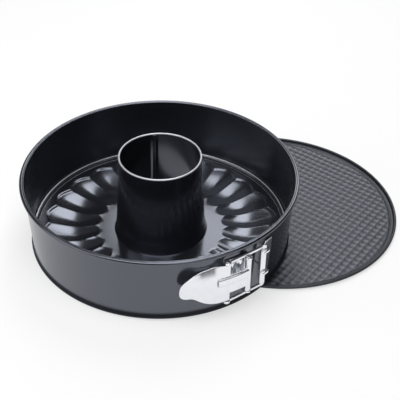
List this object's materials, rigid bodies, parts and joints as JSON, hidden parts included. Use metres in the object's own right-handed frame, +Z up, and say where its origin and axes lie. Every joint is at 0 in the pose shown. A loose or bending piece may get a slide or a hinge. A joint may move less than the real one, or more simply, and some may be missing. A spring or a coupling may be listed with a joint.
{
  "type": "springform cake pan",
  "caption": "Round springform cake pan with a clip-closed band, a fluted tube base inside and a spare flat base lying half under it.",
  "frame": {"origin": "middle of the set's footprint, on the table it stands on", "axes": "+Z up, +X along the set's length from the pan towards the spare flat base, +Y away from the clip's side"},
  "size_m": [0.383, 0.3108, 0.0949],
  "materials": {
    "black_coating": "black semi-gloss non-stick coating on steel sheet",
    "plated_steel": "bright tin-plated steel",
    "grey_coating": "dark grey non-stick coating with an embossed waffle"
  },
  "bodies": {
    "ring_left": {"band_left": "black_coating", "lever_bracket": "plated_steel", "lever_pin": "plated_steel"},
    "ring_right": {"band_right": "black_coating", "catch_bracket": "plated_steel"},
    "lever": {"latch_lever": "plated_steel", "link_pin": "plated_steel"},
    "link": {"link_frame": "plated_steel"},
    "tube_base": {"fluted_base": "black_coating", "centre_tube": "black_coating"},
    "flat_base": {"flat_base": "grey_coating"}
  },
  "joints": [
    {"name": "lever_swing", "type": "hinge", "parent": "ring_left", "child": "lever", "pos_m": [0.0213, -0.13002, 0.00376], "axis": [-0.022, -0.0081, 0.9997], "range_deg": [0, 75]},
    {"name": "link_swing", "type": "hinge", "parent": "lever", "child": "link", "pos_m": [0.00226, -0.14099, 0.00325], "axis": [-0.022, -0.0081, 0.9997], "range_deg": [-39, 0]},
    {"name": "ring_open", "type": "hinge", "parent": "ring_left", "child": "ring_right", "pos_m": [-0.14239, 0.08428, 0.00189], "axis": [-0.022, -0.0081, 0.9997], "range_deg": [0, 1.43]},
    {"name": "tube_base_lift", "type": "slide", "parent": "ring_left", "child": "tube_base", "axis": [-0.022, -0.0081, 0.9997], "range_m": [0, 0.11]},
    {"name": "flat_base_pull", "type": "slide", "parent": "ring_left", "child": "flat_base", "axis": [0.9382, 0.3461, 0], "range_m": [0, 0.15]}
  ],
  "couplings": [
    {"joint": "link_swing", "follows": "lever_swing", "ratio": -0.52},
    {"joint": "ring_open", "follows": "lever_swing", "ratio": 0.01911}
  ]
}
